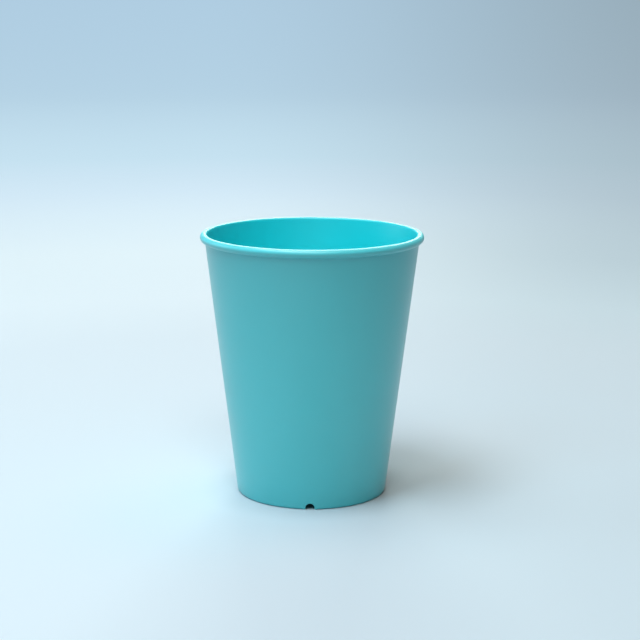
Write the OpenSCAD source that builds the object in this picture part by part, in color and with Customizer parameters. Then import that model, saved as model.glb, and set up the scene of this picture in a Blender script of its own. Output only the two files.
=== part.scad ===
// Drinking cup moulded in one piece: a tapered wall with a solid half-round bead
// at the mouth, a raised floor, and a foot ring whose drain notches empty the
// recess under the floor when the cup stands upside down.
// The origin is the centre of the foot, on the table. The first notch faces -Y.

/* [Body] */
// Height from the table to the top of the rim
height = 106.6; // [80:0.2:150]
// Outside diameter of the wall where it meets the table
base_d = 60.8; // [54:0.2:68]
// Outside diameter of the wall's own line, carried up to the top of the rim
mouth_d = 87; // [80:0.2:96]
// Thickness of the wall, square to its face
wall = 1.2; // [0.8:0.1:2]
// Thickness of the floor
floor_t = 1.6; // [1:0.1:3]
// Radius inside, between the wall and the floor
floor_fillet = 4; // [1:0.5:8]

/* [Rim bead] */
// How far the bead stands out past the wall's own line, at the top
bead_out = 1.5; // [1:0.1:2.5]
// Height of the bead
bead_h = 3.3; // [2.8:0.1:5]
// Radius of the bead's upper outer edge
bead_top_r = 1.4; // [0.4:0.1:2]
// Radius of the bead's lower outer edge
bead_under_r = 1.7; // [0.4:0.1:2.4]
// Radius of the lip's inner edge
lip_r = 0.8; // [0.2:0.1:1.2]
// Radius in the crook between the bead and the wall
crook_r = 0.2; // [0.1:0.05:0.5]

/* [Foot ring] */
// Depth of the recess under the floor
foot_depth = 3; // [2:0.1:8]
// Thickness of the foot ring at its lower edge
foot_wall = 2; // [1.6:0.1:3]
// Radius of the foot's outer edge, where it meets the table
foot_edge_r = 1; // [0.4:0.1:1.2]
// Radius of the foot's inner edge
foot_inner_r = 0.3; // [0.1:0.1:0.4]
// Radius between the foot ring and the underside of the floor
recess_fillet = 0.8; // [0.2:0.1:1.4]
// Draft of the foot ring's inner face, in degrees
foot_draft = 2; // [0.5:0.5:5]

/* [Drain notches] */
// Number of notches round the foot ring
notch_count = 3; // [2:1:6]
// Width of a notch
notch_w = 3.6; // [2:0.1:5]
// How far the crown of a notch stays below the underside of the floor
notch_cover = 0.5; // [0.2:0.1:1]

/* [Gate mark] */
// Diameter of the shallow dish round the moulding gate, under the floor
gate_d = 8; // [4:0.5:14]
// Depth of the dish
gate_depth = 0.4; // [0.2:0.1:0.6]
// Diameter of the gate's stub, in the middle of the dish
stub_d = 1.6; // [0.8:0.2:3]
// Height of the stub
stub_h = 0.3; // [0.1:0.1:0.4]

/* [Hidden] */
// Widest turn between neighbouring points of a rounded edge, in degrees
arc_step = 9;
// Least flat that two neighbouring roundings leave between them
land = 0.05;
// Most of the rim's width that the lip's rounding takes
lip_share = 0.4;
// How far a cutter runs past what it cuts
overrun = 1;
$fn = 180;

taper = (mouth_d - base_d) / 2 / height;
// The wall's thickness measured level, which the taper makes a little larger
wall_level = wall * sqrt(1 + taper * taper);
rim_r = mouth_d / 2 + bead_out;
bead_z = height - bead_h;
floor_z = foot_depth + floor_t;
dish_z = foot_depth + gate_depth;

// Radius of the wall's outer and inner faces, and of the foot ring's inner face, at height z
function outer_r(z) = base_d / 2 + taper * z;
function inner_r(z) = outer_r(z) - wall_level;
function recess_r(z) = base_d / 2 - foot_wall - z * tan(foot_draft);

// The bead's roundings, kept to what the bead and the lip leave for them
overhang = rim_r - outer_r(bead_z);
under_r = min(bead_under_r, overhang - crook_r, bead_h / 2 + crook_r);
rim_w = rim_r - inner_r(height);
lip_edge_r = min(lip_r, lip_share * rim_w);
top_r = min(bead_top_r, bead_h - under_r - land, rim_w - lip_edge_r - land);

function unit(v) = v / norm(v);
function turned(v, a) = [v.x * cos(a) - v.y * sin(a), v.x * sin(a) + v.y * cos(a)];

// Points of an arc of radius r that rounds the corner b between a and c
function rounded_corner(a, b, c, r) =
    let (
        back = unit(a - b),
        ahead = unit(c - b),
        half = acos(back * ahead) / 2,
        centre = b + unit(back + ahead) * r / sin(half),
        start = b + back * r / tan(half),
        turn = (180 - 2 * half) * sign(cross(b - a, c - b)),
        steps = ceil(abs(turn) / arc_step)
    )
    [for (i = [0:steps]) centre + turned(start - centre, turn * i / steps)];

// An outline from corners [x, z, radius], each rounded where it has a radius
function rounded(corners) =
    let (n = len(corners), at = [for (c = corners) [c.x, c.y]])
    [
        for (i = [0:n - 1])
        each corners[i].z > 0
            ? rounded_corner(at[(i + n - 1) % n], at[i], at[(i + 1) % n], corners[i].z)
            : [at[i]]
    ];

// Half of the cup's section, from the axis out along the underside and back inside
function cup_corners() = [
    [0, dish_z - stub_h, 0],
    [stub_d / 2, dish_z - stub_h, 0],
    [stub_d / 2, dish_z, 0],
    [gate_d / 2, dish_z, 0],
    [gate_d / 2 + gate_depth, foot_depth, 0],
    [recess_r(foot_depth), foot_depth, recess_fillet],
    [recess_r(0), 0, foot_inner_r],
    [outer_r(0), 0, foot_edge_r],
    [outer_r(bead_z), bead_z, crook_r],
    [rim_r, bead_z, under_r],
    [rim_r, height, top_r],
    [inner_r(height), height, lip_edge_r],
    [inner_r(floor_z), floor_z, floor_fillet],
    [0, floor_z, 0],
];

// An arched slot through the foot ring, along +X: a half round on straight legs
module notch_cutter() {
    crown_z = foot_depth - notch_cover - notch_w / 2;
    inside = recess_r(foot_depth) - recess_fillet - overrun;
    reach = outer_r(foot_depth) + overrun - inside;
    translate([inside, 0, crown_z])
        rotate([0, 90, 0])
            cylinder(d = notch_w, h = reach);
    if (crown_z > 0)
        translate([inside, -notch_w / 2, -overrun])
            cube([reach, notch_w, crown_z + overrun]);
}

module cup() {
    color([0.31, 0.69, 0.74])
        difference() {
            rotate_extrude()
                polygon(rounded(cup_corners()));
            for (i = [0:notch_count - 1])
                rotate(-90 + i * 360 / notch_count)
                    notch_cutter();
        }
}

cup();
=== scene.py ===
"""A moulded plastic drinking cup on a pale sweep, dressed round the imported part."""

import logging
import math
from collections.abc import Callable
from dataclasses import dataclass, field
from enum import Enum

import bpy
import numpy as np
from mathutils import Matrix, Vector


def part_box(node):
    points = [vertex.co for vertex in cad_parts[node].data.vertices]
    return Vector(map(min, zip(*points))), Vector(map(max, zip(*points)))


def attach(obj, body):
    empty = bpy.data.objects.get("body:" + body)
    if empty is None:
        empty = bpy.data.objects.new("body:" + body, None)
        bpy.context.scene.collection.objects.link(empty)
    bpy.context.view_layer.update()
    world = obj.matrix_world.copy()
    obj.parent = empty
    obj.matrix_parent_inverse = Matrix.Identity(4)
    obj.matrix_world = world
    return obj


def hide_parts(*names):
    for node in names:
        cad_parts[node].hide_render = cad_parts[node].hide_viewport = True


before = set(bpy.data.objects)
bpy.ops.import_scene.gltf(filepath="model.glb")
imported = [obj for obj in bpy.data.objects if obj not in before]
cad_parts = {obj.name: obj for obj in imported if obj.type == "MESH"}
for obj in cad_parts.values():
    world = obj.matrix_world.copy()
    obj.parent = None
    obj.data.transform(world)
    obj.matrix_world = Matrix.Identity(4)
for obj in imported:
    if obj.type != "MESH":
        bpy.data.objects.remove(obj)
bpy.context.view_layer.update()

logging.basicConfig(level=logging.INFO, format="%(message)s")
log = logging.getLogger("scene")

MM = 0.001

Colour = tuple[float, float, float, float]
Wash = tuple[tuple[float, Colour], ...]
Radius = Callable[[np.ndarray], np.ndarray]
Link = bpy.types.NodeSocket


def linear(red: float, green: float, blue: float) -> Colour:
    """Turn a display colour, 0 to 255 a channel, into the linear colour that shaders take.

    Each channel follows the standard display curve: a short straight start, then a power of 2.4.

    Args:
        red: Red as displayed.
        green: Green as displayed.
        blue: Blue as displayed.

    Returns:
        The linear colour with an alpha of 1.
    """
    parts = [channel / 255 for channel in (red, green, blue)]
    curve = [p / 12.92 if p <= 0.04045 else ((p + 0.055) / 1.055) ** 2.4 for p in parts]
    return (curve[0], curve[1], curve[2], 1.0)


def smoothstep(x: np.ndarray, start: float, end: float) -> np.ndarray:
    """Rise from 0 at start to 1 at end as 3t^2 - 2t^3, with t the share of the way there."""
    t = np.clip((x - start) / (end - start), 0, 1)
    return t * t * (3 - 2 * t)


# Meshes

@dataclass
class Grid:
    """A surface given as rows and columns of points, closed round its columns."""

    points: np.ndarray

    def mesh(self, name: str, start_pole: Vector, end_pole: Vector | None = None) -> bpy.types.Mesh:
        """Join the rows into a mesh, with a fan to a pole at each end.

        Face (i, j) joins point (i, j) to its neighbours in the next column and row, so with columns
        that run anticlockwise from above and rows that run out, up and back inside, it faces outward.

        Args:
            name: Name of the mesh.
            start_pole: The point that closes the first row, in metres.
            end_pole: The point that closes the last row, in metres, if it is closed.

        Returns:
            The mesh, smooth shaded.
        """
        rows, columns, _ = self.points.shape
        index = np.arange(rows * columns).reshape(rows, columns)
        turned = np.roll(index, -1, axis=1)
        quads = np.stack([index[:-1], turned[:-1], turned[1:], index[1:]], axis=-1).reshape(-1, 4)
        first, last = rows * columns, rows * columns + 1
        places = [self.points.reshape(-1, 3), [start_pole]]
        faces = quads.tolist() + np.stack([np.full(columns, first), turned[0], index[0]], axis=-1).tolist()
        if end_pole is not None:
            places.append([end_pole])
            faces += np.stack([np.full(columns, last), index[-1], turned[-1]], axis=-1).tolist()
        mesh = bpy.data.meshes.new(name)
        mesh.from_pydata(np.vstack(places).tolist(), [], faces)
        mesh.polygons.foreach_set("use_smooth", np.ones(len(mesh.polygons), dtype=bool))
        mesh.update()
        return mesh


def rounded(corners: list[tuple[float, float, float]], step: float) -> np.ndarray:
    """Round the inner corners of an open outline.

    Each corner (x, z, radius) becomes an arc that touches both of its sides: the centre lies on the
    corner's bisector, radius / sin(half angle) from it, and the arc turns through 180 degrees less
    the corner's angle.

    Args:
        corners: The outline's corners, the first and last of which stay sharp.
        step: Widest turn between neighbouring points of an arc, in radians.

    Returns:
        The outline's points, one to a row.
    """
    at = [np.array(c[:2]) for c in corners]
    out = [at[0][None]]
    for before, here, after, (_, _, radius) in zip(at, at[1:], at[2:], corners[1:]):
        if radius == 0:
            out.append(here[None])
            continue
        back = (before - here) / np.linalg.norm(before - here)
        ahead = (after - here) / np.linalg.norm(after - here)
        half = math.acos(float(back @ ahead)) / 2
        bisector = (back + ahead) / np.linalg.norm(back + ahead)
        centre = here + bisector * radius / math.sin(half)
        spoke = here + back * radius / math.tan(half) - centre
        side = np.sign(back[0] * ahead[1] - back[1] * ahead[0])
        turn = -side * (math.pi - 2 * half)
        angle = np.linspace(0, turn, math.ceil(abs(turn) / step) + 1)
        out.append(centre + np.stack([spoke[0] * np.cos(angle) - spoke[1] * np.sin(angle),
                                      spoke[0] * np.sin(angle) + spoke[1] * np.cos(angle)], axis=1))
    out.append(at[-1][None])
    return np.vstack(out)


def spread(points: np.ndarray, longest: float, edge: float) -> np.ndarray:
    """Divide an outline's long straight stretches, with a narrow step next to each of their ends.

    The narrow steps hold the smooth shading of a rounding off the flat beside it. A stretch of up to
    four narrow steps stays whole.

    Args:
        points: The outline's points.
        longest: Longest step to leave.
        edge: Width of the narrow steps.

    Returns:
        The outline with the added points.
    """
    out = []
    for start, end in zip(points, points[1:]):
        length = np.linalg.norm(end - start)
        share = np.zeros(1)
        if length > 4 * edge:
            inner = np.linspace(edge, length - edge, math.ceil(length / longest) + 1)
            share = np.concatenate([[0], inner]) / length
        out.append(start + share[:, None] * (end - start))
    out.append(points[-1:])
    return np.vstack(out)


# The cup

@dataclass
class Cup:
    """The one moulded piece, in millimetres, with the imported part's sizes.

    The foot's outer edge is a quarter circle here, so its radius is a little under the part's.
    The notches' edges and corners and the gate's edges are rounded here alone. The steps are the
    divisions of a stretch, and a growth over 1 widens them along it. The changes are where the
    marks of the inside and the rim rise, from the middle of the wall and from the cup's top.
    """

    height: float
    rim_r: float
    base_r: float = 30.4
    bead_out: float = 1.5
    wall: float = 1.2
    floor_t: float = 1.6
    floor_fillet: float = 4.0
    bead_h: float = 3.3
    bead_top_r: float = 1.4
    bead_under_r: float = 1.7
    lip_r: float = 0.8
    crook_r: float = 0.2
    foot_depth: float = 3.0
    foot_wall: float = 2.0
    foot_edge_r: float = 0.95
    foot_inner_r: float = 0.3
    recess_fillet: float = 0.8
    foot_draft: float = math.radians(2)
    notch_count: int = 3
    notch_w: float = 3.6
    notch_crown: float = 2.5
    notch_edge_r: float = 0.3
    notch_corner_r: float = 0.4
    gate_r: float = 4.0
    gate_depth: float = 0.4
    stub_r: float = 0.8
    stub_h: float = 0.3
    gate_edge_r: float = 0.12
    first_notch: float = math.radians(-90)
    arc_step: float = math.radians(12)
    longest_step: float = 3.0
    edge_step: float = 0.3
    notch_reach: float = 6.0
    plain_above: float = 8.0
    plain_ease: float = 1.5
    pole_r: float = 0.1
    crown_steps: int = 8
    corner_steps: int = 4
    leg_steps: int = 3
    flat_steps: int = 8
    flat_growth: float = 1.3
    span_steps: int = 38
    face_steps: int = 8
    face_growth: float = 1.4
    fillet_share: float = 0.3
    fillet_steps: int = 6
    lower_steps: int = 4
    lip_change: tuple[float, float] = (-0.4, 0.6)
    rim_change: tuple[float, float] = (-2.0, -0.8)

    def outer(self, z: np.ndarray | float) -> np.ndarray | float:
        """Radius of the wall's outer face at height z, on a straight line from foot to rim."""
        return self.base_r + (self.rim_r - self.bead_out - self.base_r) * z / self.height

    def inner(self, z: float) -> float:
        """Radius of the wall's inner face at height z, which lies square to the outer one."""
        slope = (self.rim_r - self.bead_out - self.base_r) / self.height
        return self.outer(z) - self.wall * math.sqrt(1 + slope * slope)

    def recess(self, z: np.ndarray) -> np.ndarray:
        """Radius of the foot ring's inner face at height z, with the fillet at its upper end.

        The face leans in by its draft. Over the last fillet radius it also bends in along a circle,
        by radius - sqrt(radius^2 - rise^2).
        """
        rise = np.clip(z - (self.foot_depth - self.recess_fillet), 0, self.recess_fillet)
        bend = self.recess_fillet - np.sqrt(self.recess_fillet**2 - rise**2)
        return self.base_r - self.foot_wall - z * math.tan(self.foot_draft) - bend

    def notch_path(self) -> dict[str, np.ndarray]:
        """Walk along the foot's lower edge, from the crown of a notch to half way to the next one.

        The walk follows a quarter circle from the crown, a straight leg, a small rounding on to the
        table, and the table itself. Each point also has the direction into the material, square to
        the walk, along which its edge is rounded.

        Returns:
            The sideways place and the height of each point, the direction into the material, how
            far the point is on to the plain foot edge, and its share of the way from notch_reach to
            the middle of the span.
        """
        half, corner = self.notch_w / 2, self.notch_corner_r
        centre_z = self.notch_crown - half
        crown = np.linspace(0, math.pi / 2, self.crown_steps + 1)
        bend = np.linspace(0, math.pi / 2, self.corner_steps + 1)
        leg_z = np.linspace(centre_z, corner, self.leg_steps + 1)[1:-1]
        along = np.linspace(0, 1, self.flat_steps + 1)[1:] ** self.flat_growth
        flat = half + corner + (self.notch_reach - half - corner) * along
        share = np.linspace(0, 1, self.span_steps + 1)[1:]
        side = np.concatenate([half * np.sin(crown), np.full(len(leg_z), half),
                               half + corner - corner * np.cos(bend), flat,
                               np.full(len(share), self.notch_reach)])
        z = np.concatenate([centre_z + half * np.cos(crown), leg_z, corner - corner * np.sin(bend),
                            np.zeros(len(flat) + len(share))])
        into_side = np.concatenate([np.sin(crown), np.ones(len(leg_z)), np.cos(bend),
                                    np.zeros(len(flat) + len(share))])
        into_z = np.concatenate([np.cos(crown), np.zeros(len(leg_z)), np.sin(bend),
                                 np.ones(len(flat) + len(share))])
        plain = smoothstep(side, half + corner, half + corner + self.plain_ease) * (z < corner)
        span = np.concatenate([np.zeros(len(side) - len(share)), share])
        return {"side": side, "z": z, "into_side": into_side, "into_z": into_z,
                "plain": plain, "span": span}

    def foot_columns(self) -> dict[str, np.ndarray]:
        """Mirror the walk about the notch and repeat it round the foot.

        Returns:
            The values of notch_path for every column, with the side of the notch that each column
            lies on and the direction of its notch, in radians.
        """
        walk = self.notch_path()
        sign = np.concatenate([-np.ones(len(walk["z"]) - 1), np.ones(len(walk["z"]) - 1)])
        third = {key: np.concatenate([value[:0:-1], value[:-1]]) for key, value in walk.items()}
        third["sign"] = sign
        columns = {key: np.tile(value, self.notch_count) for key, value in third.items()}
        notch = self.first_notch + np.arange(self.notch_count) * 2 * math.pi / self.notch_count
        columns["notch"] = np.repeat(notch, len(sign))
        return columns

    def even_angles(self, columns: int) -> np.ndarray:
        """Directions of evenly spaced columns that start half a span before the first notch."""
        start = self.first_notch - math.pi / self.notch_count
        return start + np.arange(columns) * 2 * math.pi / columns

    def foot_angle(self, at: dict[str, np.ndarray], offset: np.ndarray, radius: np.ndarray) -> np.ndarray:
        """Direction of points on the foot, in radians.

        Near a notch the sideways place is kept at every radius, because the notch's sides are
        parallel: the angle is asin(sideways place / radius). Past notch_reach the angle runs evenly
        to the middle of the span.
        """
        side = at["side"] + at["into_side"] * offset
        near = np.arcsin(side / radius)
        far = near + at["span"] * (math.pi / self.notch_count - near)
        return at["notch"] + at["sign"] * far

    def foot_rows(self, at: dict[str, np.ndarray], even: np.ndarray) -> np.ndarray:
        """Carry the foot ring's section along its notched lower edge.

        The rows run from the recess's roof down the ring's inner face, round the inner edge, across
        the lower face or the notch's soffit, round the outer edge, and up the wall. Each edge is a
        quarter circle between the face and the soffit: at turn a the point lies edge * (1 - sin a)
        into the material and edge * (1 - cos a) from the face. Up the faces, the points pass evenly
        from the rounded edge to the plain columns above.

        Args:
            at: The columns of the foot.
            even: Direction of each column away from the notches.

        Returns:
            The points, in millimetres.
        """
        inner_edge = self.notch_edge_r + (self.foot_inner_r - self.notch_edge_r) * at["plain"]
        outer_edge = self.notch_edge_r + (self.foot_edge_r - self.notch_edge_r) * at["plain"]
        turn = np.linspace(0, math.pi / 2, self.corner_steps + 1)[:, None]

        def face(edge: np.ndarray, top: float, share: np.ndarray, radius_at: Radius) -> np.ndarray:
            """Rows on a face, from the rounded edge at share 0 to height top at share 1."""
            low = at["z"] + at["into_z"] * edge
            z = low + (top - low) * share
            radius = radius_at(z)
            angle = self.foot_angle(at, edge, radius)
            angle = angle + (even - angle) * share
            return np.stack([radius, angle, z], axis=-1)

        def edge_rows(edge: np.ndarray, radius_at: Radius, inward: int, order: int) -> np.ndarray:
            """Rows round an edge, in the order given, from the face to the soffit or back."""
            off = edge * (1 - np.sin(turn[::order]))
            z = at["z"] + at["into_z"] * off
            radius = radius_at(z) - inward * edge * (1 - np.cos(turn[::order]))
            return np.stack([radius, self.foot_angle(at, off, radius), z], axis=-1)

        straight = np.linspace(0, 1 - self.fillet_share, self.leg_steps + 1)[:-1]
        rise = np.sin(np.linspace(0, math.pi / 2, self.fillet_steps + 1))
        bent = 1 - self.fillet_share + self.fillet_share * rise
        inner_share = np.concatenate([straight, bent])[:0:-1, None]
        outer_share = (np.linspace(0, 1, self.face_steps + 1)[1:] ** self.face_growth)[:, None]
        inside = face(inner_edge, self.foot_depth, inner_share, self.recess)
        inner_round = edge_rows(inner_edge, self.recess, -1, 1)
        outer_round = edge_rows(outer_edge, self.outer, 1, -1)
        across = np.linspace(0, 1, self.lower_steps + 1)[1:-1, None]
        radius = inner_round[-1, :, 0] + across * (outer_round[0, :, 0] - inner_round[-1, :, 0])
        lower_z = np.broadcast_to(at["z"], radius.shape)
        lower = np.stack([radius, self.foot_angle(at, np.zeros(1), radius), lower_z], axis=-1)
        outside = face(outer_edge, self.plain_above, outer_share, self.outer)
        return self.round_points(np.vstack([inside, inner_round, lower, outer_round, outside]))

    def round_points(self, polar: np.ndarray) -> np.ndarray:
        """Turn (radius, angle, height) into (x, y, z): x = radius cos(angle), y = radius sin(angle)."""
        radius, angle, z = polar[..., 0], polar[..., 1], polar[..., 2]
        return np.stack([radius * np.cos(angle), radius * np.sin(angle), z], axis=-1)

    def revolve(self, outline: np.ndarray, even: np.ndarray) -> np.ndarray:
        """Turn an outline (radius, height) about the axis, one row for each of its points."""
        radius = np.broadcast_to(outline[:, :1], (len(outline), len(even)))
        z = np.broadcast_to(outline[:, 1:], radius.shape)
        return self.round_points(np.stack([radius, np.broadcast_to(even, radius.shape), z], axis=-1))

    def underside(self) -> np.ndarray:
        """Outline under the floor, from beside the axis over the gate's stub and dish to the fillet."""
        dish_z = self.foot_depth + self.gate_depth
        stub_z = dish_z - self.stub_h
        roof_r = float(self.recess(np.array(self.foot_depth)))
        outline = rounded([
            (self.pole_r, stub_z, 0),
            (self.stub_r, stub_z, self.gate_edge_r),
            (self.stub_r, dish_z, self.gate_edge_r),
            (self.gate_r, dish_z, self.gate_edge_r),
            (self.gate_r + self.gate_depth, self.foot_depth, self.gate_edge_r),
            (roof_r, self.foot_depth, 0),
        ], self.arc_step * 2)
        return spread(outline, self.longest_step, self.edge_step)

    def upper(self) -> np.ndarray:
        """Outline from the wall above the foot, round the bead and the lip, down to the floor."""
        bead_z = self.height - self.bead_h
        floor_z = self.foot_depth + self.floor_t
        outline = rounded([
            (self.outer(self.plain_above), self.plain_above, 0),
            (self.outer(bead_z), bead_z, self.crook_r),
            (self.rim_r, bead_z, self.bead_under_r),
            (self.rim_r, self.height, self.bead_top_r),
            (self.inner(self.height), self.height, self.lip_r),
            (self.inner(floor_z), floor_z, self.floor_fillet),
            (self.pole_r, floor_z, 0),
        ], self.arc_step)
        return spread(outline, self.longest_step, self.edge_step)[1:]

    def build(self) -> bpy.types.Object:
        """Build the whole cup as one closed surface.

        Returns:
            The object, at the origin, with its place in its mesh.
        """
        at = self.foot_columns()
        even = self.even_angles(len(at["sign"]))
        under, upper = self.underside(), self.upper()
        points = np.vstack([self.revolve(under, even), self.foot_rows(at, even), self.revolve(upper, even)])
        start = Vector((0, 0, under[0, 1])) * MM
        end = Vector((0, 0, upper[-1, 1])) * MM
        mesh = Grid(points * MM).mesh("moulded_cup", start, end)
        self.mark_faces(mesh)
        piece = bpy.data.objects.new("moulded_cup", mesh)
        bpy.context.collection.objects.link(piece)
        return piece

    def mark_faces(self, mesh: bpy.types.Mesh) -> None:
        """Store where the inner faces and the bead's top are, and the climb, as three attributes.

        A point is inside when its radius is less than the middle of the wall at its height, above
        the middle of the floor. The change runs over the lip's width. The rim's share rises over
        the bead's upper part, and leaves out what is inside. The climb is the cube of the height's
        share, from 0 at the foot to 1 at the rim.
        """
        places = np.empty(len(mesh.vertices) * 3)
        mesh.vertices.foreach_get("co", places)
        x, y, z = places.reshape(-1, 3).T / MM
        middle = self.outer(z) - self.wall / 2
        above = z > self.foot_depth + self.floor_t / 2
        # The inside and rim shares also place painted light on the inner faces and a painted highlight on
        # the bead's top.
        share = smoothstep(middle - np.hypot(x, y), *self.lip_change) * above
        rim = smoothstep(z - self.height, *self.rim_change) * (1 - share)
        # The climb places the painted shade that darkens the outside towards the rim.
        climb = (z / self.height) ** 3
        for name, values in ("inside", share), ("rim", rim), ("climb", climb):
            mesh.attributes.new(name, "FLOAT", "POINT").data.foreach_set("value", values.astype(np.float32))


# Finishes

class Value:
    """A number that varies over a surface: an output socket with arithmetic."""

    def __init__(self, graph: "Graph", socket: Link) -> None:
        """Wrap a socket of a graph."""
        self.graph = graph
        self.socket = socket

    def maths(self, operation: str, first: "Value | float", second: "Value | float") -> "Value":
        """Add a Math node that combines two values."""
        return self.graph.value("ShaderNodeMath", {"operation": operation}, {0: first, 1: second})

    def __add__(self, other: "Value | float") -> "Value":
        """Add."""
        return self.maths("ADD", self, other)

    def __radd__(self, other: float) -> "Value":
        """Add to a number."""
        return self.maths("ADD", other, self)

    def __sub__(self, other: "Value | float") -> "Value":
        """Subtract."""
        return self.maths("SUBTRACT", self, other)

    def __rsub__(self, other: float) -> "Value":
        """Subtract from a number."""
        return self.maths("SUBTRACT", other, self)

    def __mul__(self, other: "Value | float") -> "Value":
        """Multiply."""
        return self.maths("MULTIPLY", self, other)

    def __rmul__(self, other: float) -> "Value":
        """Multiply a number."""
        return self.maths("MULTIPLY", other, self)

    def __truediv__(self, other: "Value | float") -> "Value":
        """Divide."""
        return self.maths("DIVIDE", self, other)

    def __rtruediv__(self, other: float) -> "Value":
        """Divide a number."""
        return self.maths("DIVIDE", other, self)


class Graph:
    """The nodes of one material."""

    def __init__(self, name: str) -> None:
        """Make an empty material with its output node."""
        self.material = bpy.data.materials.new(name)
        self.material.use_nodes = True
        self.tree = self.material.node_tree
        self.tree.nodes.clear()
        self.output = self.tree.nodes.new("ShaderNodeOutputMaterial")

    def node(self, kind: str, settings: dict | None = None, inputs: dict | None = None) -> bpy.types.Node:
        """Add a node.

        Args:
            kind: The node's type.
            settings: Properties to set first.
            inputs: What goes into each socket, by name or number: a Value, a socket or a constant.

        Returns:
            The node.
        """
        made = self.tree.nodes.new(kind)
        for key, setting in (settings or {}).items():
            if key == "stops":
                self.fill_ramp(made.color_ramp, setting)
            else:
                setattr(made, key, setting)
        for key, given in (inputs or {}).items():
            if isinstance(given, Value):
                given = given.socket
            if isinstance(given, Link):
                self.tree.links.new(given, made.inputs[key])
            else:
                made.inputs[key].default_value = given
        return made

    def fill_ramp(self, ramp: bpy.types.ColorRamp, stops: list[tuple[float, Colour]]) -> None:
        """Set a colour ramp's stops, each a place from 0 to 1 and a colour."""
        while len(ramp.elements) < len(stops):
            ramp.elements.new(1.0)
        for element, (place, colour) in zip(ramp.elements, stops):
            element.position = place
            element.color = colour

    def value(self, kind: str, settings: dict | None = None, inputs: dict | None = None,
              output: int | str = 0) -> Value:
        """Add a node and wrap one of its outputs."""
        return Value(self, self.node(kind, settings, inputs).outputs[output])

    def noise(self, scale: float, detail: float) -> Value:
        """Noise on Object coordinates, from 0 to 1, with scale in features a metre."""
        place = self.node("ShaderNodeTexCoord").outputs["Object"]
        inputs = {"Vector": place, "Scale": scale, "Detail": detail}
        return self.value("ShaderNodeTexNoise", {}, inputs, "Fac")

    def blend(self, share: Value, first: Colour | Link, second: Colour | Link) -> Link:
        """Mix two colours by a share, from 0, all the first, to 1, all the second."""
        made = self.node("ShaderNodeMix", {"data_type": "RGBA"}, {"Factor": share, 6: first, 7: second})
        return made.outputs[2]

    def scale(self, colour: Colour | Link, factor: Value) -> Link:
        """Multiply a colour by a number."""
        given = colour[:3] if isinstance(colour, tuple) else colour
        made = self.node("ShaderNodeVectorMath", {"operation": "SCALE"}, {0: given, "Scale": factor})
        return made.outputs[0]

    def rise(self, value: Value, change: tuple[float, float]) -> Value:
        """Rise smoothly from 0 to 1 as a value runs between two limits."""
        return self.value("ShaderNodeMapRange", {"interpolation_type": "SMOOTHSTEP"},
                          {"Value": value, "From Min": change[0], "From Max": change[1]})

    def finish(self, shader: Link) -> bpy.types.Material:
        """Link the shader to the output and return the material."""
        self.tree.links.new(shader, self.output.inputs["Surface"])
        return self.material


@dataclass(frozen=True)
class MouldedPlastic:
    """Satin plastic whose colours outside, inside and on the rim were each fitted to the photograph.

    The real cup is most likely one colour throughout. The three colours, the strong specular level
    and the gradient up the outside also carry light that the lamps here don't give: the paler rim
    colour is a painted highlight, the deeper inside colour is painted light, and the gradient is
    painted shade, darker towards the rim.
    """

    # The brighter, deeper inside colour is painted light, and the paler rim colour is a painted highlight.
    outside: Colour = linear(67, 193, 199)
    inside: Colour = linear(0, 232, 241)
    rim: Colour = linear(97, 231, 238)
    outside_roughness: float = 0.30
    inside_roughness: float = 0.45
    rim_roughness: float = 0.40
    specular: float = 1.0
    ior: float = 1.49
    grain_scale: float = 5200.0
    grain_detail: float = 2.0
    grain_depth: float = 0.000006
    grain_lost_inside: float = 0.6
    flow_scale: float = 28.0
    flow_detail: float = 3.0
    colour_drift: float = 0.06
    roughness_drift: float = 0.08
    # Painted shade: the outside colour is scaled by the first factor below at the foot and darkens by the
    # second towards the rim.
    painted_light_at_foot: float = 1.06
    painted_shade_to_rim: float = 0.20

    def material(self, name: str) -> bpy.types.Material:
        """Build the material.

        The outside is darkened from the foot to the rim with painted shade. The colour changes to the
        inside colour, painted light, on the inner faces and to the rim colour, a painted highlight, on
        top of the bead, and drifts a little with slow noise. The roughness changes and drifts in the
        same way.
        The bump is a fine even grain, weaker inside.
        """
        graph = Graph(name)
        inside, rim, climb = (graph.value("ShaderNodeAttribute", {"attribute_name": mark}, {}, "Fac")
                              for mark in ("inside", "rim", "climb"))
        flow = graph.noise(self.flow_scale, self.flow_detail)
        grain = graph.noise(self.grain_scale, self.grain_detail)
        # Painted shade: the outside darkens from the foot towards the rim.
        outside = graph.scale(self.outside, self.painted_light_at_foot - self.painted_shade_to_rim * climb)
        # Painted light on the inner faces and a painted highlight on the bead's top.
        base = graph.blend(rim, graph.blend(inside, outside, self.inside), self.rim)
        colour = graph.scale(base, 1 + self.colour_drift * (0.5 - flow))
        roughness = self.outside_roughness + (self.inside_roughness - self.outside_roughness) * inside
        roughness = roughness + (self.rim_roughness - self.outside_roughness) * rim
        roughness = roughness + self.roughness_drift * (flow + grain - 1)
        bump = graph.node("ShaderNodeBump", {}, {"Strength": 1.0, "Distance": self.grain_depth,
                                                 "Height": grain * (1 - self.grain_lost_inside * inside)})
        shader = graph.node("ShaderNodeBsdfPrincipled", {}, {
            "Base Color": colour, "Roughness": roughness, "Normal": bump.outputs[0], "IOR": self.ior,
            "Specular IOR Level": self.specular})
        return graph.finish(shader.outputs[0])


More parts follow.
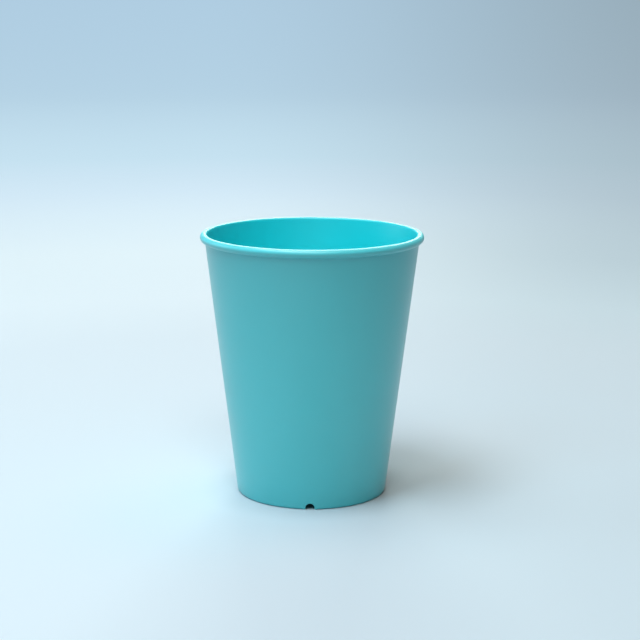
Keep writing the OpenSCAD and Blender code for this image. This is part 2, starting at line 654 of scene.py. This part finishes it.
@dataclass(frozen=True)
class PaleSweep:
    """The matt floor and cove, with a wash of painted light, brighter on the left and near the middle.

    Each wash is a row of distances from the middle, in metres, and the colour there. The glow and
    the shade change between two such distances, and the side between two shares of the distance.
    """

    # Painted light: the washes are lighter on the left and near the middle, and fall off outward.
    left: Wash = (
        (0.3, linear(225, 237, 246)), (0.42, linear(230, 242, 250)), (0.6, linear(228, 242, 250)),
        (0.95, linear(211, 233, 247)), (1.25, linear(198, 226, 241)), (2.1, linear(183, 212, 230)),
        (3.1, linear(172, 202, 224)))
    right: Wash = (
        (0.3, linear(212, 226, 235)), (0.42, linear(208, 225, 234)), (0.6, linear(194, 212, 222)),
        (0.95, linear(179, 198, 209)), (1.25, linear(171, 192, 203)), (2.1, linear(160, 180, 193)),
        (3.1, linear(146, 167, 179)))
    farthest: float = 4.0
    middle_r: float = 0.3
    side_change: tuple[float, float] = (-0.10, 0.26)
    glow_change: tuple[float, float] = (0.35, 1.1)
    # Painted contact shadow next to the foot: where it fades out, and how dark it is.
    shade_change: tuple[float, float] = (0.026, 0.048)
    shade_depth: float = 0.18

    def wash(self, graph: Graph, stops: Wash, reach: Value) -> Link:
        """Colour the sweep by the distance from the middle."""
        ramp = {"stops": [(distance / self.farthest, colour) for distance, colour in stops]}
        return graph.node("ShaderNodeValToRGB", ramp, {"Fac": reach / self.farthest}).outputs["Color"]

    def material(self, name: str) -> bpy.types.Material:
        """Build the material.

        The wash is painted light, brighter on the left and near the middle; it turns from left to right
        with X over the distance from the middle, and is darkened next to the foot by a painted contact
        shadow, deeper than the lamps give. Near the middle the surface is plain diffuse, and keeps the
        object's shadow. Farther out, rays from the camera, from reflections and through glass see the
        wash glow as painted light, and all other rays the same diffuse surface.
        """
        graph = Graph(name)
        place = graph.node("ShaderNodeTexCoord").outputs["Object"]
        reach = graph.value("ShaderNodeVectorMath", {"operation": "LENGTH"}, {0: place}, "Value")
        across = Value(graph, graph.node("ShaderNodeSeparateXYZ", {}, {0: place}).outputs["X"])
        side = graph.rise(across / (reach + self.middle_r), self.side_change)
        left, right = (self.wash(graph, stops, reach) for stops in (self.left, self.right))
        # Painted contact shadow: the wash darkens next to the foot.
        clear = graph.rise(reach, self.shade_change)
        colour = graph.scale(graph.blend(side, left, right), 1 - self.shade_depth * (1 - clear))
        seen = graph.node("ShaderNodeLightPath").outputs
        looked_at = Value(graph, seen["Is Camera Ray"]) + Value(graph, seen["Is Glossy Ray"])
        looked_at = looked_at + Value(graph, seen["Is Transmission Ray"])
        # Far out the wash glows as painted light for camera, glossy and transmission rays.
        glow = graph.rise(reach, self.glow_change)
        matt = graph.node("ShaderNodeBsdfDiffuse", {}, {"Color": colour}).outputs[0]
        light = graph.node("ShaderNodeEmission", {}, {"Color": colour}).outputs[0]
        shader = graph.node("ShaderNodeMixShader", {}, {0: looked_at * glow, 1: matt, 2: light})
        return graph.finish(shader.outputs[0])


# The stage

@dataclass
class Cove:
    """A round floor that curves up into a wall on every side. Sizes are in metres."""

    flat_r: float = 2.2
    bend_r: float = 1.2
    top: float = 2.6
    pole_r: float = 0.1
    columns: int = 128
    bend_steps: int = 32

    def build(self) -> bpy.types.Object:
        """Turn the section (flat, quarter circle, upright) about the axis and return the object.

        With turn a, a point of the bend lies at radius flat + bend * sin(a) and height
        bend * (1 - cos(a)). The columns run clockwise, so that the faces look inward.
        """
        turn = np.linspace(0, math.pi / 2, self.bend_steps + 1)
        radius = np.concatenate([[self.pole_r], self.flat_r + self.bend_r * np.sin(turn),
                                 [self.flat_r + self.bend_r]])
        z = np.concatenate([[0.0], self.bend_r * (1 - np.cos(turn)), [self.top]])
        angle = -np.arange(self.columns) * 2 * math.pi / self.columns
        points = np.stack([radius[:, None] * np.cos(angle), radius[:, None] * np.sin(angle),
                           np.broadcast_to(z[:, None], (len(z), self.columns))], axis=-1)
        cove = bpy.data.objects.new("cove", Grid(points).mesh("cove", Vector((0, 0, 0))))
        bpy.context.collection.objects.link(cove)
        return cove


@dataclass
class Viewpoint:
    """The photograph's camera, as fitted to the cup's outline. Lengths are in metres."""

    distance: float = 0.6824
    height: float = 0.2120
    azimuth: float = math.radians(1.0)
    pitch: float = 0.20415
    yaw: float = 0.00482
    roll: float = 0.00396
    focal_px: float = 1715.0
    frame_px: int = 640
    sensor_mm: float = 36.0
    clip: tuple[float, float] = (0.01, 50.0)

    def build(self) -> bpy.types.Object:
        """Place the camera on a circle round the cup's axis, turned by pitch, yaw and roll.

        The axes are worked out for a camera that looks along +Y, then turned by the azimuth.

        Returns:
            The camera.
        """
        forward = Vector((math.sin(self.yaw) * math.cos(self.pitch),
                          math.cos(self.yaw) * math.cos(self.pitch), -math.sin(self.pitch)))
        level = forward.cross(Vector((0, 0, 1))).normalized()
        upright = level.cross(forward)
        right = math.cos(self.roll) * level + math.sin(self.roll) * upright
        up = math.cos(self.roll) * upright - math.sin(self.roll) * level
        axes = Matrix((right, up, -forward)).transposed().to_4x4()
        place = Matrix.Translation(Vector((0, -self.distance, self.height)))
        data = bpy.data.cameras.new("camera")
        data.sensor_width = self.sensor_mm
        data.lens = self.focal_px * self.sensor_mm / self.frame_px
        data.clip_start, data.clip_end = self.clip
        camera = bpy.data.objects.new("camera", data)
        camera.matrix_world = Matrix.Rotation(self.azimuth, 4, "Z") @ place @ axes
        bpy.context.collection.objects.link(camera)
        bpy.context.scene.camera = camera
        return camera


class Lamp(Enum):
    """The studio's soft boxes.

    Each has its direction from the object (degrees round to the left from the front, degrees up),
    power in watts, and colour.
    """

    KEY = (45, 70, 8.6, (0.93, 1.0, 1.06))
    FRONT = (0, 50, 6.2, (1.0, 1.0, 0.93))
    FRONT_LEFT = (45, 50, 2.6, (0.5, 1.0, 1.2))
    LEFT = (90, 70, 2.1, (0.7, 1.0, 1.15))
    LOW_LEFT = (105, 15, 2.6, (0.85, 1.0, 1.04))
    LEFT_BACK = (135, 70, 2.9, (1.0, 1.0, 0.94))
    BACK = (180, 30, 8.5, (0.93, 1.0, 0.94))
    RIGHT_BACK = (225, 60, 1.0, (1.8, 0.7, 0.3))
    TOP = (0, 90, 1.5, (1.1, 1.0, 0.9))

    def build(self, distance: float, size: float) -> bpy.types.Object:
        """Make the lamp as a square area light that faces the object's foot."""
        round_left, up, power, colour = self.value
        turn, lift = math.radians(round_left), math.radians(up)
        out = Vector((-math.sin(turn) * math.cos(lift), -math.cos(turn) * math.cos(lift), math.sin(lift)))
        data = bpy.data.lights.new(f"lamp_{self.name.lower()}", "AREA")
        data.shape = "SQUARE"
        data.size = size
        data.energy = power
        data.color = colour
        lamp = bpy.data.objects.new(data.name, data)
        lamp.location = out * distance
        lamp.rotation_euler = out.to_track_quat("Z", "Y").to_euler()
        bpy.context.collection.objects.link(lamp)
        return lamp


@dataclass
class Studio:
    """The stage and the lamps, which stand alike far from the object. Sizes are in metres."""

    lamp_distance: float = 1.6
    lamp_size: float = 0.6
    cove: Cove = field(default_factory=Cove)

    def build(self) -> None:
        """Build the cove and the lamps, and let no other light in."""
        floor = self.cove.build()
        floor.data.materials.append(PaleSweep().material("pale_sweep"))
        for lamp in Lamp:
            lamp.build(self.lamp_distance, self.lamp_size)
        world = bpy.data.worlds.new("unlit")
        world.use_nodes = True
        world.node_tree.nodes["Background"].inputs["Strength"].default_value = 0
        bpy.context.scene.world = world
        bpy.context.scene.view_settings.view_transform = "Standard"


def main() -> None:
    """Set the camera, build the stage and dress the cup."""
    Viewpoint().build()
    Studio().build()
    low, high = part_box("cup")
    cup = Cup(height=high[2] / MM, rim_r=high[0] / MM)
    piece = cup.build()
    piece.data.materials.append(MouldedPlastic().material("satin_turquoise"))
    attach(piece, "root")
    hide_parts("cup")
    log.info("%s: %d faces, %.1f mm high", piece.name, len(piece.data.polygons), cup.height)


if __name__ == "__main__":
    main()
